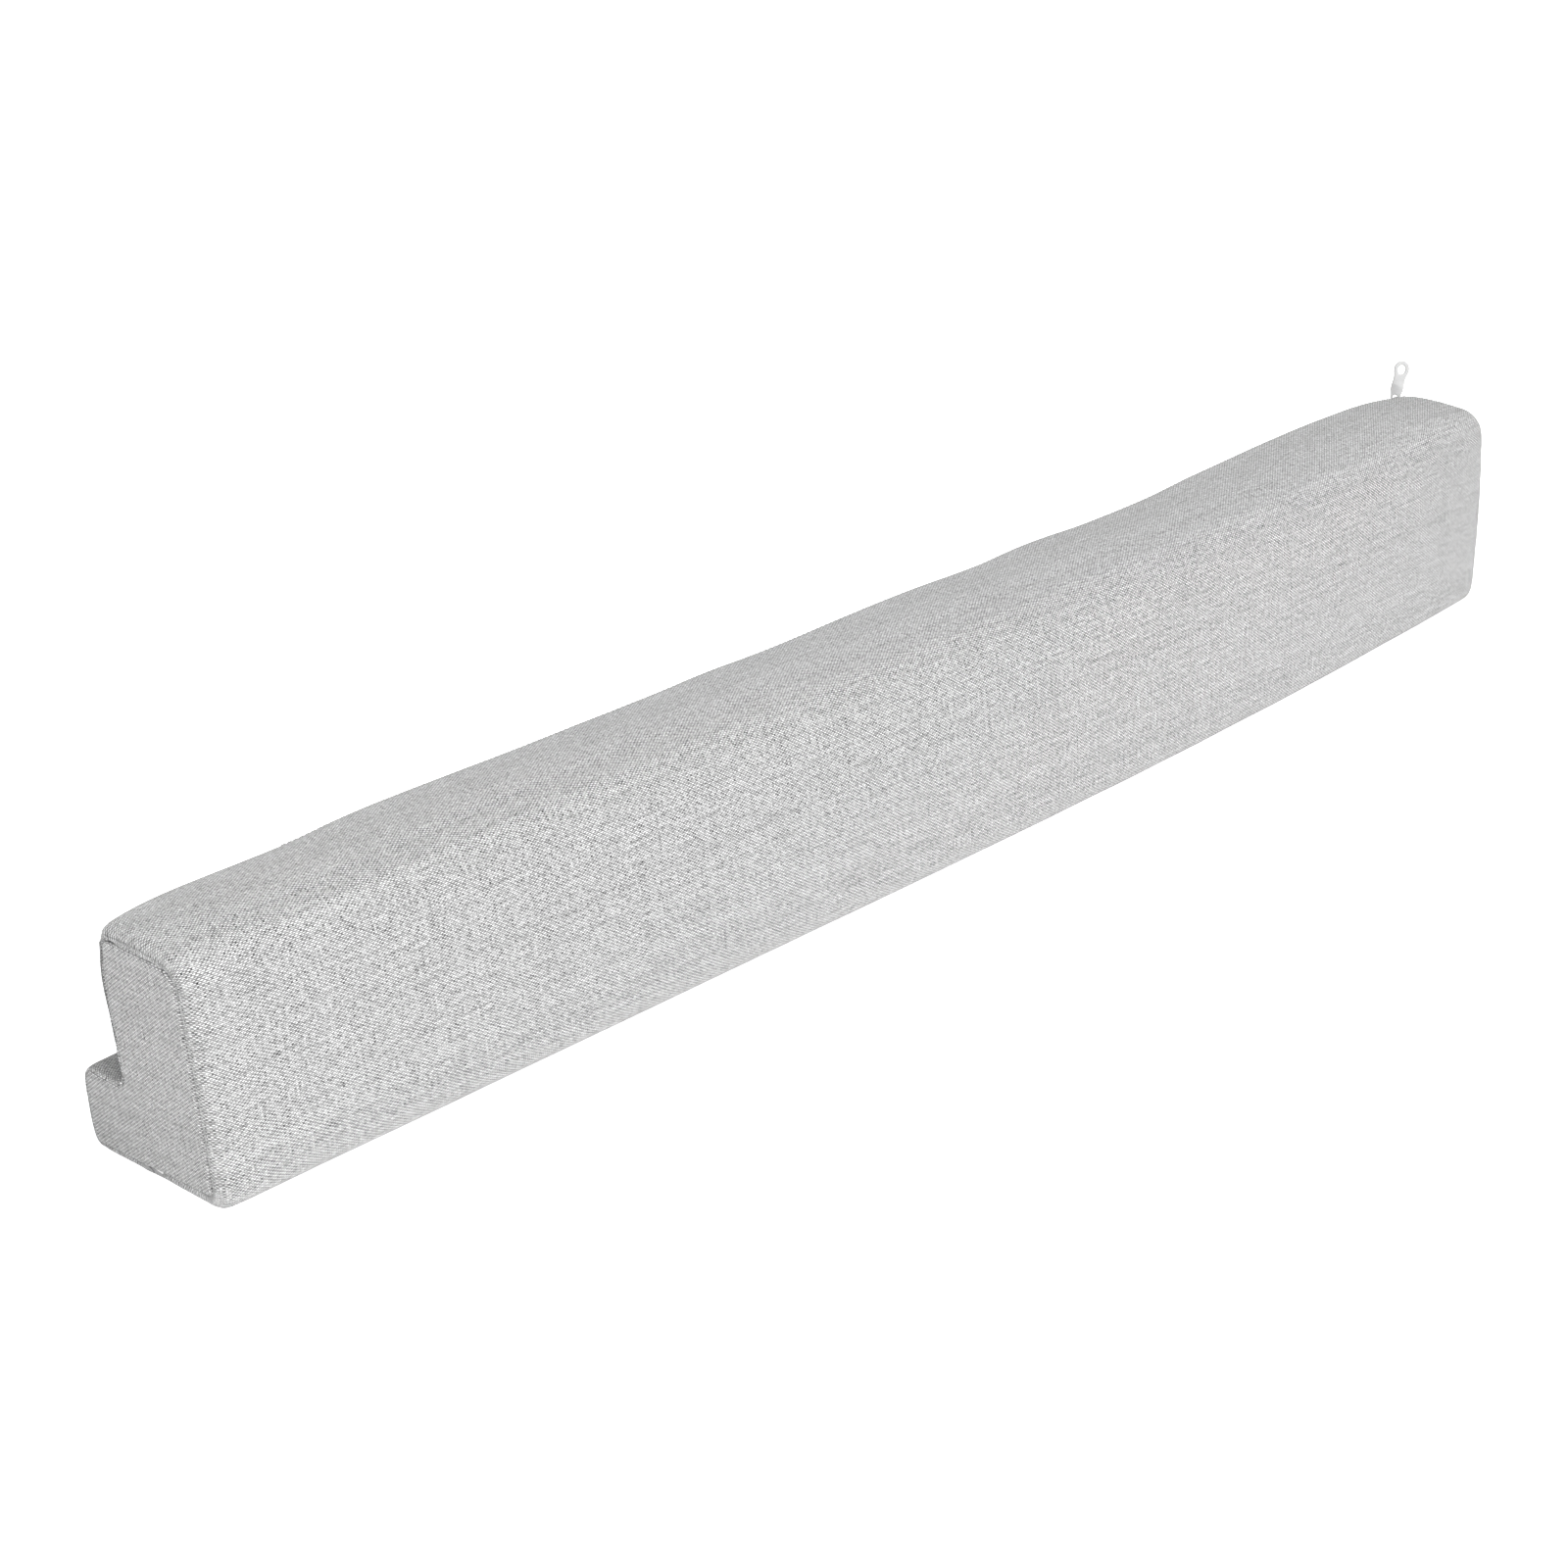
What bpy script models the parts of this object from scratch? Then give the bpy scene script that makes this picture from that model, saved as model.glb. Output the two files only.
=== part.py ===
"""Bed gap filler: a long bar of foam with an L-shaped section in a sewn cloth cover.

The tall arm stands in front with its plain face towards -Y, and the low foot reaches back
towards +Y under the edge of the mattress. The bar runs along X and rests on Z = 0. An L-shaped
panel closes each end, and a zip runs along the arm's top back edge to its slider at the +X end.
"""

import math

import bmesh
import bpy
from mathutils import Matrix, Vector

# The bar, in metres
LENGTH = 1.080
HEIGHT = 0.150
DEPTH = 0.117
ARM_DEPTH = 0.082
FOOT_HEIGHT = 0.0535
BACK = DEPTH / 2
FRONT = -DEPTH / 2
ARM_BACK = FRONT + ARM_DEPTH

# Corner radii of the section
TOP_FRONT_RADIUS = 0.019
TOP_BACK_RADIUS = 0.012
FOOT_TOP_RADIUS = 0.010
BASE_BACK_RADIUS = 0.009
BASE_FRONT_RADIUS = 0.0145
INNER_RADIUS = 0.004

# The cover's swell between its corners, face by face
FRONT_CROWN = 0.0015
TOP_CROWN = 0.0012
BACK_CROWN = 0.0010

# The front stands out at mid-length, more at its foot than at its top, and the bar sways
# to the back in its first half and to the front in its second
FRONT_BOW = 0.0148
BOW_LOST_AT_TOP = 0.35
SWAY = 0.0030

# Where the unevenness of the top fades out, going down
TOP_FADE_FROM = 0.6 * HEIGHT

# The -X end is cut out of square; the +X end leans out and its top sinks a little
END_SKEW = 0.086
SKEW_REACH = 0.30
END_LEAN = 0.029
END_SINK = 0.0042
SINK_REACH = 0.032

# Height by height, how far the seam at each end draws the arm's back in
DRAW_REACH = 0.060
ARM_DRAWS = (
    {"at": 0.032, "near": 0.0000, "far": 0.0000},
    {"at": 0.064, "near": 0.0046, "far": 0.0030},
    {"at": 0.090, "near": 0.0046, "far": 0.0030},
    {"at": 0.118, "near": 0.0033, "far": 0.0045},
    {"at": 0.138, "near": 0.0078, "far": 0.0078},
    {"at": 0.150, "near": 0.0080, "far": 0.0080},
)

# Gathers along the zip: distance from the -X end, and the lift of the top back edge there
EDGE_LIFTS = (
    {"at": 0.000, "lift": 0.0008},
    {"at": 0.022, "lift": 0.0022},
    {"at": 0.045, "lift": 0.0009},
    {"at": 0.072, "lift": -0.0004},
    {"at": 0.114, "lift": -0.0010},
    {"at": 0.150, "lift": 0.0013},
    {"at": 0.186, "lift": 0.0013},
    {"at": 0.240, "lift": -0.0005},
    {"at": 0.293, "lift": -0.0008},
    {"at": 0.375, "lift": -0.0016},
    {"at": 0.410, "lift": 0.0003},
    {"at": 0.445, "lift": -0.0026},
    {"at": 0.506, "lift": 0.0000},
    {"at": 0.572, "lift": 0.0003},
    {"at": 0.641, "lift": -0.0015},
    {"at": 0.676, "lift": 0.0012},
    {"at": 0.730, "lift": -0.0020},
    {"at": 0.793, "lift": -0.0017},
    {"at": 0.833, "lift": 0.0008},
    {"at": 0.900, "lift": 0.0034},
    {"at": 0.963, "lift": 0.0039},
    {"at": 1.009, "lift": 0.0026},
    {"at": 1.050, "lift": 0.0006},
    {"at": 1.080, "lift": 0.0014},
)

# The sewn ends, and how much of their rounding each face of the bar takes
END_RADIUS = 0.008
TOP_SHARE = 1.0
FRONT_SHARE = 1.0
BASE_FRONT_SHARE = 1.2
BASE_BACK_SHARE = 0.4
FOOT_BACK_SHARE = 0.3
FOOT_TOP_SHARE = 0.2
ARM_BACK_SHARE = 0.5
END_STEPS = 4
SEAM_ROLL = 0.0010
SEAM_DIP = 0.0006
PANEL_SEAT = 0.0021
PANEL_SHOULDER = 0.0014
PANEL_RISE = 0.0003

# The zip in its seat on the top back corner
ZIP_ANGLE = math.radians(20)
ZIP_START = 0.120
ZIP_END = LENGTH - 0.0085
SEAT_HALF_WIDTH = 0.0035
SEAT_DEPTH = 0.0017
SEAT_SHADOW = 0.00015
SEAT_RAMP = 0.003
CHAIN_THICKNESS = 0.0009
COIL_RISE = 0.0007
COIL_HALF_WIDTH = 0.0011
COIL_CREST = 0.7

# The slider and its bridge
SLIDER_LENGTH = 0.0125
SLIDER_WIDTH = 0.0085
SLIDER_THICKNESS = 0.0026
SLIDER_BEVEL = 0.0008
SLIDER_TAPER = 0.75
SLIDER_PLACE = LENGTH - 0.0055
SLIDER_TILT = math.radians(12)
BRIDGE_RADIUS = 0.0042
BRIDGE_WIRE = 0.0010
BRIDGE_SINK = 0.0004
BRIDGE_PLACE = 0.0010
BRIDGE_STEPS = 8

# The pull: a soft tab that twists from its eye on the bridge to its ring
PULL_THICKNESS = 0.0016
EYE_RADIUS = 0.0034
EYE_HOLE = 0.0020
EYE_PLAY = 0.0006
RING_RADIUS = 0.0064
RING_HOLE = 0.0035
RING_HEIGHT = 0.0208
WAIST = 0.0047
WAIST_LOW = 0.0065
WAIST_HIGH = 0.0140
EYE_TURN = math.radians(74)
RING_TURN = math.radians(22)
PULL_LEAN = math.radians(20)
PULL_LEVELS = 8
EYE_STEPS = 12
RING_STEPS = 16

CLEARANCE = 0.0003
NEAREST_STATIONS = 0.012
STATIONS = 24


def clamp(value):
    return min(1.0, max(0.0, value))


def ease(value):
    """A soft step from 0 to 1."""
    value = clamp(value)
    return value * value * (3 - 2 * value)


def read_table(rows, column, at):
    """A table's column between its rows, joined by soft steps."""
    for row, after in zip(rows, rows[1:]):
        if at <= after["at"]:
            share = ease((at - row["at"]) / (after["at"] - row["at"]))
            return row[column] + share * (after[column] - row[column])
    return rows[-1][column]


def corner(at, along, onward, radius, shares, steps):
    """Points round a corner, from the edge along to the edge onward, each with its outward
    normal and its share of the ends' rounding."""
    turn = math.copysign(1, along.x * onward.y - along.y * onward.x)
    out = Vector((along.y, -along.x))
    centre = at - along * radius - out * radius * turn
    points = []
    for step in range(steps + 1):
        part = step / steps
        normal = Matrix.Rotation(turn * math.pi / 2 * part, 2) @ out
        share = shares[0] + (shares[1] - shares[0]) * part
        points.append((centre + normal * radius * turn, normal, share))
    return points


def face(start, end, crown, steps):
    """Points between two corners, swelled by the crown."""
    (first, normal, share), (last, _, last_share) = start, end
    points = []
    for step in range(1, steps + 1):
        part = step / (steps + 1)
        swell = crown * 4 * part * (1 - part)
        taken = share + (last_share - share) * part
        points.append((first.lerp(last, part) + normal * swell, normal, taken))
    return points


def zip_seat_angle():
    return math.asin(SEAT_HALF_WIDTH / TOP_BACK_RADIUS)


def zip_corner(seat_depth):
    """The top back corner with the zip's seat cut into it."""
    centre = Vector((ARM_BACK - TOP_BACK_RADIUS, HEIGHT - TOP_BACK_RADIUS))
    seat = Vector((math.cos(ZIP_ANGLE), math.sin(ZIP_ANGLE))) * seat_depth
    points = []
    for side, end in ((-1, 0), (1, math.pi / 2)):
        lip = ZIP_ANGLE + side * zip_seat_angle()
        half = []
        for step in range(3):
            angle = end + (lip - end) * step / 2
            normal = Vector((math.cos(angle), math.sin(angle)))
            share = ARM_BACK_SHARE + (TOP_SHARE - ARM_BACK_SHARE) * angle / (math.pi / 2)
            half.append((centre + normal * TOP_BACK_RADIUS, normal, share))
        lip_point, lip_normal, lip_share = half[-1]
        half.append((lip_point - seat, lip_normal, lip_share))
        points += half if side < 0 else half[::-1]
    return points


def section(rounding, inset, seat_depth):
    """The L-shaped outline seen from +X, anticlockwise, set in from its full size by each
    point's share of the rounding and by the inset."""
    ahead, up = Vector((1, 0)), Vector((0, 1))
    base_front = corner(
        Vector((FRONT, 0)), -up, ahead, BASE_FRONT_RADIUS, (FRONT_SHARE, BASE_FRONT_SHARE), 5)
    base_back = corner(
        Vector((BACK, 0)), ahead, up, BASE_BACK_RADIUS, (BASE_BACK_SHARE, FOOT_BACK_SHARE), 4)
    foot_top = corner(
        Vector((BACK, FOOT_HEIGHT)), up, -ahead, FOOT_TOP_RADIUS,
        (FOOT_BACK_SHARE, FOOT_TOP_SHARE), 4)
    inner = corner(
        Vector((ARM_BACK, FOOT_HEIGHT)), -ahead, up, INNER_RADIUS,
        (FOOT_TOP_SHARE, ARM_BACK_SHARE), 3)
    top_front = corner(
        Vector((FRONT, HEIGHT)), -ahead, -up, TOP_FRONT_RADIUS, (TOP_SHARE, FRONT_SHARE), 6)
    top_back = zip_corner(seat_depth)
    outline = (
        base_front
        + face(base_front[-1], base_back[0], 0, 2)
        + base_back
        + face(base_back[-1], foot_top[0], BACK_CROWN, 1)
        + foot_top
        + face(foot_top[-1], inner[0], 0, 1)
        + inner
        + face(inner[-1], top_back[0], BACK_CROWN, 3)
        + top_back
        + face(top_back[-1], top_front[0], TOP_CROWN, 3)
        + top_front
        + face(top_front[-1], base_front[0], FRONT_CROWN, 4)
    )
    return [point - normal * (rounding * share + inset) for point, normal, share in outline]


def shaped(x, y, z):
    """Where a point of the plain straight bar lies on the real, uneven one."""
    from_end = x + LENGTH / 2
    share = clamp(from_end / LENGTH)
    forward = clamp((ARM_BACK - y) / ARM_DEPTH)
    height = clamp(z / HEIGHT)
    bow = FRONT_BOW * 4 * share * (1 - share) * forward * (1 - BOW_LOST_AT_TOP * height)
    sway = SWAY * math.sin(2 * math.pi * share)
    at_top = ease((z - TOP_FADE_FROM) / (HEIGHT - TOP_FADE_FROM))
    at_back = ease(1 - forward)
    lift = read_table(EDGE_LIFTS, "lift", from_end) * at_back
    sink = END_SINK * (1 - ease((LENGTH - from_end) / SINK_REACH))
    draw = read_table(ARM_DRAWS, "near", z) * (1 - ease(from_end / DRAW_REACH))
    draw += read_table(ARM_DRAWS, "far", z) * (1 - ease((LENGTH - from_end) / DRAW_REACH))
    y += sway - bow - draw * at_back
    z += (lift - sink) * at_top
    skew = END_SKEW * (y - FRONT) * (1 - ease(from_end / SKEW_REACH))
    lean = END_LEAN * (z - HEIGHT / 2) * ease(1 - (LENGTH - from_end) / SKEW_REACH)
    return Vector((x - skew + lean, y, z))


def seat_depth_at(from_end):
    """The zip's seat is full along the zip and only a shadow of a line past it."""
    inside = min(from_end - ZIP_START, ZIP_END - from_end)
    share = ease(inside / SEAT_RAMP)
    return SEAT_SHADOW + (SEAT_DEPTH - SEAT_SHADOW) * share


def ring(x, rounding=0.0, inset=0.0):
    plain = rounding == 0 and inset == 0
    depth = seat_depth_at(x + LENGTH / 2) if plain else SEAT_SHADOW
    return [shaped(x, y, z) for y, z in section(rounding, inset, depth)]


def stations():
    """Places along the bar between the two rounded ends, with the gathers and the zip's
    ends among them."""
    first = END_RADIUS + PANEL_RISE
    last = LENGTH - first
    fixed = [first, ZIP_START, ZIP_START + SEAT_RAMP, ZIP_END - SEAT_RAMP, last]
    even = [first + (last - first) * step / STATIONS for step in range(1, STATIONS)]
    for place in [row["at"] for row in EDGE_LIFTS[1:-1]] + even:
        if min(abs(place - other) for other in fixed) > NEAREST_STATIONS:
            fixed.append(place)
    return [place - LENGTH / 2 for place in sorted(fixed)]


def add_object(name, mesh_builder, color, roughness):
    mesh = bpy.data.meshes.new(name)
    mesh_builder.to_mesh(mesh)
    mesh_builder.free()
    mesh.shade_smooth()
    mesh.set_sharp_from_angle(angle=math.radians(40))
    piece = bpy.data.objects.new(name, mesh)
    bpy.context.scene.collection.objects.link(piece)
    material = bpy.data.materials.new(name + "_finish")
    material.use_nodes = True
    shader = material.node_tree.nodes["Principled BSDF"]
    shader.inputs["Base Color"].default_value = (*color, 1)
    shader.inputs["Roughness"].default_value = roughness
    shader.inputs["Metallic"].default_value = 0
    mesh.materials.append(material)
    return piece


def loft(name, rings, color, roughness):
    """One closed body through rings that hold the same number of points, anticlockwise as
    seen from +X, from the -X end to the +X end."""
    builder = bmesh.new()
    loops = [[builder.verts.new(point) for point in points] for points in rings]
    for here, there in zip(loops, loops[1:]):
        for a, b, c, d in zip(here, here[1:] + here[:1], there[1:] + there[:1], there):
            builder.faces.new((a, b, c, d))
    builder.faces.new(loops[0][::-1])
    builder.faces.new(loops[-1])
    builder.normal_update()
    bmesh.ops.triangulate(builder, faces=builder.faces, ngon_method="EAR_CLIP")
    return add_object(name, builder, color, roughness)


def end_rings(side):
    """From the full section round the end's edge, over the seam's roll and into the seat."""
    face_x = LENGTH / 2 - PANEL_RISE
    rings = []
    for step in range(1, END_STEPS + 1):
        angle = math.pi / 2 * step / END_STEPS
        x = face_x - END_RADIUS * (1 - math.sin(angle))
        rings.append(ring(side * x, END_RADIUS * (1 - math.cos(angle))))
    rings.append(ring(side * (face_x - SEAM_DIP), END_RADIUS, SEAM_ROLL))
    rings.append(ring(side * (face_x - PANEL_SEAT), END_RADIUS, SEAM_ROLL))
    return rings


def build_cushion(cloth):
    rings = end_rings(-1)[::-1]
    rings += [ring(x) for x in stations()]
    rings += end_rings(1)
    return loft("cushion", rings, cloth, 0.95)


def build_end_panel(name, side, cloth):
    """An L-shaped piece of cloth in the seat at one end, with its rim rolled in at the seam."""
    face_x = LENGTH / 2 - PANEL_RISE
    rim = SEAM_ROLL + CLEARANCE
    rings = [
        ring(side * (face_x - PANEL_SEAT + CLEARANCE), END_RADIUS, rim),
        ring(side * (face_x - SEAM_DIP), END_RADIUS, rim),
        ring(side * LENGTH / 2, END_RADIUS, rim + PANEL_SHOULDER),
    ]
    return loft(name, rings[::side], cloth, 0.95)


def zip_frame(from_end):
    """The zip's own axes at a place along it: origin at the corner's centre, Y across the
    zip, Z out of it."""
    x = from_end - LENGTH / 2
    centre = (ARM_BACK - TOP_BACK_RADIUS, HEIGHT - TOP_BACK_RADIUS)
    ahead, up = TOP_BACK_RADIUS * math.cos(ZIP_ANGLE), TOP_BACK_RADIUS * math.sin(ZIP_ANGLE)
    moved = shaped(x, centre[0] + ahead, centre[1] + up) - Vector((0, ahead, up))
    turn = Matrix.Rotation(ZIP_ANGLE - math.pi / 2, 4, "X")
    return Matrix.Translation(moved) @ turn


def chain_floor():
    return TOP_BACK_RADIUS * math.cos(zip_seat_angle()) - SEAT_DEPTH + CLEARANCE


def chain_top():
    return chain_floor() + CHAIN_THICKNESS + COIL_RISE


def build_chain(color):
    """The closed zip: two tapes with the coil's low ridge between them."""
    half = SEAT_HALF_WIDTH - CLEARANCE
    low = chain_floor()
    tape = low + CHAIN_THICKNESS
    outline = (
        (-half, low),
        (half, low),
        (half, tape),
        (COIL_HALF_WIDTH, tape),
        (COIL_HALF_WIDTH * COIL_CREST, chain_top()),
        (-COIL_HALF_WIDTH * COIL_CREST, chain_top()),
        (-COIL_HALF_WIDTH, tape),
        (-half, tape),
    )
    first = ZIP_START + SEAT_RAMP + CLEARANCE
    last = ZIP_END - SEAT_RAMP - CLEARANCE
    inner = [x + LENGTH / 2 for x in stations()]
    places = [first] + [place for place in inner if first < place < last] + [last]
    rings = []
    for place in places:
        frame = zip_frame(place)
        rings.append([frame @ Vector((0, across, out)) for across, out in outline])
    return loft("zip_chain", rings, color, 0.7)


def slider_frame():
    """The underside of the slider's body, tipped over the end of the bar."""
    low = TOP_BACK_RADIUS * math.cos(zip_seat_angle()) + CLEARANCE
    tilt = Matrix.Rotation(SLIDER_TILT, 4, "Y")
    return zip_frame(SLIDER_PLACE) @ Matrix.Translation((0, 0, low)) @ tilt


def build_slider(color):
    """A rounded body on the closed chain with a wire bridge that holds the pull."""
    body = bmesh.new()
    bmesh.ops.create_cube(body, size=1)
    bmesh.ops.scale(body, verts=body.verts, vec=(SLIDER_LENGTH, SLIDER_WIDTH, SLIDER_THICKNESS))
    for vert in body.verts:
        if vert.co.x < 0:
            vert.co.y *= SLIDER_TAPER
    bmesh.ops.bevel(
        body, geom=body.edges[:], offset=SLIDER_BEVEL, segments=2, profile=0.5,
        affect="EDGES", material=-1,
    )
    slider = add_object("zip_slider", body, color, 0.4)
    slider.matrix_world = slider_frame() @ Matrix.Translation((0, 0, SLIDER_THICKNESS / 2))

    wire = bmesh.new()
    start = bmesh.ops.create_circle(wire, segments=BRIDGE_STEPS, radius=BRIDGE_WIRE, cap_ends=True)
    bmesh.ops.translate(wire, verts=start["verts"], vec=(BRIDGE_RADIUS, 0, 0))
    bmesh.ops.spin(
        wire, geom=wire.faces[:], cent=(0, 0, 0), axis=(0, -1, 0),
        angle=math.pi, steps=BRIDGE_STEPS, use_merge=False,
    )
    bmesh.ops.recalc_face_normals(wire, faces=wire.faces)
    bridge = add_object("bridge_wire", wire, color, 0.4)
    feet = SLIDER_THICKNESS / 2 - BRIDGE_SINK
    bridge.matrix_world = slider.matrix_world @ Matrix.Translation((BRIDGE_PLACE, 0, feet))
    bridge.hide_render = True
    bridge.display_type = "WIRE"
    union = slider.modifiers.new("bridge", "BOOLEAN")
    union.operation = "UNION"
    union.solver = "EXACT"
    union.object = bridge
    return slider


def pull_half_width(height):
    """Half the tab's width above the middle of its eye."""
    if height < WAIST_LOW:
        return EYE_RADIUS + (WAIST - EYE_RADIUS) * ease(height / WAIST_LOW)
    widening = ease((height - WAIST_HIGH) / (RING_HEIGHT - WAIST_HIGH))
    return WAIST + (RING_RADIUS - WAIST) * widening


def arc(middle, radius, start, end, steps):
    """Points on an arc in the tab's plane, by angle from its width."""
    angles = [start + (end - start) * step / steps for step in range(steps + 1)]
    return [(radius * math.cos(a), middle + radius * math.sin(a)) for a in angles]


def build_pull(color):
    """The flat tab is cut out with its eye and ring, given its thickness and then twisted."""
    levels = [RING_HEIGHT * step / PULL_LEVELS for step in range(1, PULL_LEVELS)]
    right = [(pull_half_width(level), level) for level in levels]
    left = [(-width, level) for width, level in right[::-1]]
    outside = arc(0, EYE_RADIUS, -math.pi, 0, EYE_STEPS) + right
    outside += arc(RING_HEIGHT, RING_RADIUS, 0, math.pi, RING_STEPS) + left
    eye = arc(0, EYE_HOLE, 0, 2 * math.pi, EYE_STEPS)[:-1]
    hole = arc(RING_HEIGHT, RING_HOLE, 0, 2 * math.pi, RING_STEPS)[:-1]

    tab = bmesh.new()
    for outline in (outside, eye, hole):
        verts = [tab.verts.new((w, -PULL_THICKNESS / 2, height)) for w, height in outline]
        for vert, after in zip(verts, verts[1:] + verts[:1]):
            tab.edges.new((vert, after))
    bmesh.ops.triangle_fill(tab, edges=tab.edges[:], use_beauty=True)
    raised = bmesh.ops.extrude_face_region(tab, geom=tab.faces[:])
    top = [item for item in raised["geom"] if isinstance(item, bmesh.types.BMVert)]
    bmesh.ops.translate(tab, verts=top, vec=(0, PULL_THICKNESS, 0))
    for level in levels:
        bmesh.ops.bisect_plane(
            tab, geom=tab.verts[:] + tab.edges[:] + tab.faces[:],
            plane_co=(0, 0, level), plane_no=(0, 0, 1), dist=0.00001,
        )
    for vert in tab.verts:
        share = ease((vert.co.z - EYE_RADIUS) / (WAIST_HIGH - EYE_RADIUS))
        turn = EYE_TURN + (RING_TURN - EYE_TURN) * share
        vert.co = Matrix.Rotation(-turn, 3, "Z") @ vert.co
    bmesh.ops.triangulate(tab, faces=tab.faces[:])
    bmesh.ops.recalc_face_normals(tab, faces=tab.faces)
    pull = add_object("zip_pull", tab, color, 0.45)

    crown = SLIDER_THICKNESS - BRIDGE_SINK + BRIDGE_RADIUS
    bridge = slider_frame() @ Vector((BRIDGE_PLACE, 0, crown))
    hang = EYE_HOLE - BRIDGE_WIRE - EYE_PLAY
    lean = Matrix.Rotation(PULL_LEAN, 4, "Y")
    pull.matrix_world = Matrix.Translation(bridge) @ lean @ Matrix.Translation((0, 0, hang))
    return pull


def rest_on_origin(pieces):
    """Move all pieces so that the origin lies under the middle of their box."""
    bpy.context.view_layer.update()
    corners = [piece.matrix_world @ vert.co for piece in pieces for vert in piece.data.vertices]
    low = Vector([min(point[axis] for point in corners) for axis in range(3)])
    high = Vector([max(point[axis] for point in corners) for axis in range(3)])
    middle = (low + high) / 2
    shift = Matrix.Translation((-middle.x, -middle.y, -low.z))
    for piece in bpy.context.scene.objects:
        piece.matrix_world = shift @ piece.matrix_world


def main():
    for old in list(bpy.data.objects):
        bpy.data.objects.remove(old, do_unlink=True)
    cloth = (0.62, 0.62, 0.62)
    white = (0.85, 0.85, 0.84)
    pieces = [
        build_cushion(cloth),
        build_end_panel("end_panel_near", -1, cloth),
        build_end_panel("end_panel_far", 1, cloth),
        build_chain((0.70, 0.70, 0.70)),
        build_slider(white),
        build_pull(white),
    ]
    rest_on_origin(pieces)


main()
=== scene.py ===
# %% [markdown]
# A bed gap filler is a long bar of foam with an L-shaped section, zipped into a cover of grey
# faux-linen. The low foot slides under the edge of the mattress and the tall arm closes the gap.
# This lesson dresses the plain construction model: a cloth wrap with its grain, two sewn end
# panels, a zip with its coil, a slider and a white pull.

# %% Load the construction model
import math

import bmesh
import bpy
import numpy as np
from mathutils import Matrix, Vector, noise
from mathutils.bvhtree import BVHTree


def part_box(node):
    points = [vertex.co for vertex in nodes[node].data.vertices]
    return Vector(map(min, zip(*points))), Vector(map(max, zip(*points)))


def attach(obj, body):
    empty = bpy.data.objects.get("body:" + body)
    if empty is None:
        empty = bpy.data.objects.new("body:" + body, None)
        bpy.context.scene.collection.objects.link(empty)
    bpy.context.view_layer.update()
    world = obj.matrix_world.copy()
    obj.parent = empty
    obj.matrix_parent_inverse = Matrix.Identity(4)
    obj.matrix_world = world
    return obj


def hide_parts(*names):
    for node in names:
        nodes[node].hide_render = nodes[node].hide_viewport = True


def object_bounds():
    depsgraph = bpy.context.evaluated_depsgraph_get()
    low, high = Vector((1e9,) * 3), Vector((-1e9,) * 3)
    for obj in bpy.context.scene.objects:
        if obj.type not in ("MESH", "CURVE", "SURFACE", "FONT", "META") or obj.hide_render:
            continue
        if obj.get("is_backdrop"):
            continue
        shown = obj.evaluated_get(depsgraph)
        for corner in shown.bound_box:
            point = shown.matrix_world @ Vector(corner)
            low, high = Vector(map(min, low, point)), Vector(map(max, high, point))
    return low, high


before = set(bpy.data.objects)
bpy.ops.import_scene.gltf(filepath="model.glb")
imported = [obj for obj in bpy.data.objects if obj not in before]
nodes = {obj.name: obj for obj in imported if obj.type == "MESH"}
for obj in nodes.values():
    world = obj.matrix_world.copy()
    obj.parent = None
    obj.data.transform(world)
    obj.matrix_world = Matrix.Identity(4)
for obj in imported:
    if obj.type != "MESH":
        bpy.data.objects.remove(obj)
cad_low, cad_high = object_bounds()
print("construction model:", [round(side, 4) for side in cad_high - cad_low])

# %% [markdown]
# The photograph was taken from the front left, a little above the bar, with the camera tipped a
# few degrees to one side. A camera can be placed by eye, but one set by azimuth, elevation,
# distance and roll keeps the picture's perspective, and each number can be read as what it does.

# %% Camera
CAMERA_AIM = Vector((-0.1047, 0, 0.0695))
CAMERA_DISTANCE = 1.6250
CAMERA_AZIMUTH = math.radians(-40.565)
CAMERA_ELEVATION = math.radians(25.385)
CAMERA_ROLL = math.radians(-4.053)
CAMERA_LENS = 61.76


def direction(azimuth, elevation):
    """The unit vector from the object towards a viewer at these angles."""
    flat = math.cos(elevation)
    return Vector((math.sin(azimuth) * flat, -math.cos(azimuth) * flat, math.sin(elevation)))


camera_data = bpy.data.cameras.new("camera")
camera_data.lens = CAMERA_LENS
camera_data.clip_end = 50
camera = bpy.data.objects.new("camera", camera_data)
bpy.context.scene.collection.objects.link(camera)
back = direction(CAMERA_AZIMUTH, CAMERA_ELEVATION)
camera.rotation_mode = "QUATERNION"
camera.location = CAMERA_AIM + back * CAMERA_DISTANCE
roll = Matrix.Rotation(CAMERA_ROLL, 3, "Z").to_quaternion()
camera.rotation_quaternion = (-back).to_track_quat("-Z", "Y") @ roll
bpy.context.scene.camera = camera
print("camera at", [round(part, 3) for part in camera.location])

# %% [markdown]
# Product pictures of this kind are lit softly from two sides: here from the front right, low and
# high, and from the left, low down. A sun lamp with a wide angle lights the whole bar evenly. One
# large square lamp stands in front of the near end, so the light fades a little along the bar.
# The picture's ground is pure white, with no shadow, as after cutting out. So the sky and the floor
# look white to the camera alone: a Light Path node tells whether a ray comes from the camera, and
# only for such rays does it add light.

# %% Light and floor
SKY_STRENGTH = 0.02
SUNS = (
    {"azimuth": 30, "elevation": 30, "strength": 1.70, "wide": 50},
    {"azimuth": 30, "elevation": 60, "strength": 1.58, "wide": 50},
    {"azimuth": -85, "elevation": 20, "strength": 1.85, "wide": 50},
)
LAMP_PLACE = Vector((-1.00, -1.60, 0.80))
LAMP_AIM = Vector((-0.30, 0, 0.07))
LAMP_POWER = 12
LAMP_SIZE = 0.9
FLOOR_SIZE = 40


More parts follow.
